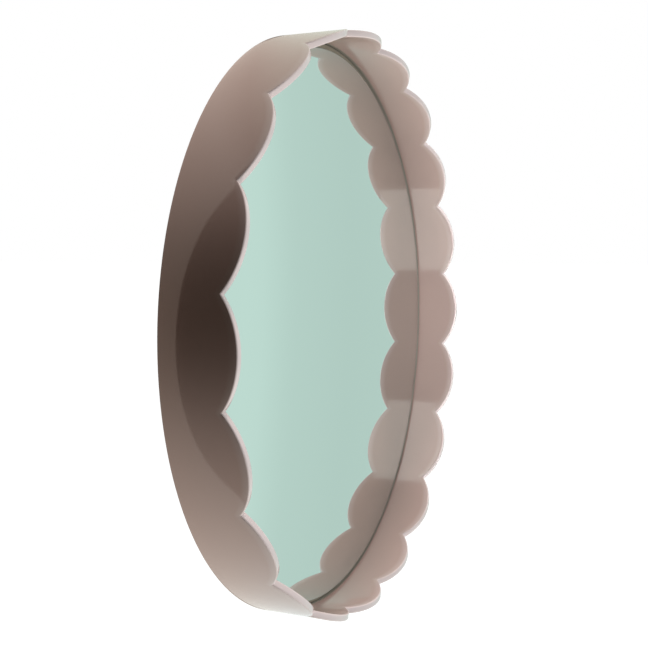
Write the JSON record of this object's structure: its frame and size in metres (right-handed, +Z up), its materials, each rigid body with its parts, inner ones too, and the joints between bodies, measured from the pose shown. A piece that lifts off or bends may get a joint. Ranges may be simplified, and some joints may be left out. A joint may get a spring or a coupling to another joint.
{
  "type": "scalloped mirror",
  "caption": "Round wall mirror set deep in a bent, lacquered hoop with a scalloped front edge, hung from swinging D-rings on a batten behind the glass.",
  "frame": {"origin": "on the hoop's axis in the plane of the wall, where the rear faces of the bumpers touch it", "axes": "+Z up the wall, +Y into the wall, so the glass faces -Y; +X is to the right as the mirror is seen"},
  "size_m": [0.8, 0.0995, 0.8],
  "materials": {
    "lacquered_hoop": "satin dusty pink lacquer",
    "silvered_glass": "polished, silvered behind",
    "foam_tape": "white closed-cell foam",
    "mirror_adhesive": "cured neutral adhesive",
    "sealed_fibreboard": "brown fibreboard, sealed, matt",
    "planed_pine": "planed pine, bare",
    "zinc_plated_screw": "bright zinc",
    "nickel_plated_steel": "satin nickel plate",
    "soft_bumper": "dark soft bumper"
  },
  "bodies": {
    "mirror_frame": {"scalloped_hoop": "lacquered_hoop", "mirror_glass": "silvered_glass", "mirror_tape_1": "foam_tape", "mirror_tape_2": "foam_tape", "mirror_tape_3": "foam_tape", "mirror_tape_4": "foam_tape", "mirror_tape_5": "foam_tape", "mirror_adhesive": "mirror_adhesive", "backing_board": "sealed_fibreboard", "ledge_right": "planed_pine", "ledge_top": "planed_pine", "ledge_left": "planed_pine", "ledge_bottom": "planed_pine", "hanging_rail": "planed_pine", "stiffening_rail": "planed_pine", "ledge_screws": "zinc_plated_screw", "hanging_rail_screws": "zinc_plated_screw", "stiffening_rail_screws": "zinc_plated_screw", "left_hanger_screws": "zinc_plated_screw", "right_hanger_screws": "zinc_plated_screw", "left_hanger_strap": "nickel_plated_steel", "right_hanger_strap": "nickel_plated_steel", "wall_pad_1": "soft_bumper", "wall_pad_2": "soft_bumper", "wall_pad_3": "soft_bumper", "wall_pad_4": "soft_bumper"},
    "left_hanger_ring": {"left_hanger_ring": "nickel_plated_steel"},
    "right_hanger_ring": {"right_hanger_ring": "nickel_plated_steel"}
  },
  "joints": [
    {"name": "left_ring_hinge", "type": "hinge", "parent": "mirror_frame", "child": "left_hanger_ring", "pos_m": [-0.2, -0.00595, 0.196], "axis": [1, 0, 0], "range_deg": [0, 180]},
    {"name": "right_ring_hinge", "type": "hinge", "parent": "mirror_frame", "child": "right_hanger_ring", "pos_m": [0.2, -0.00595, 0.196], "axis": [1, 0, 0], "range_deg": [0, 180]}
  ]
}
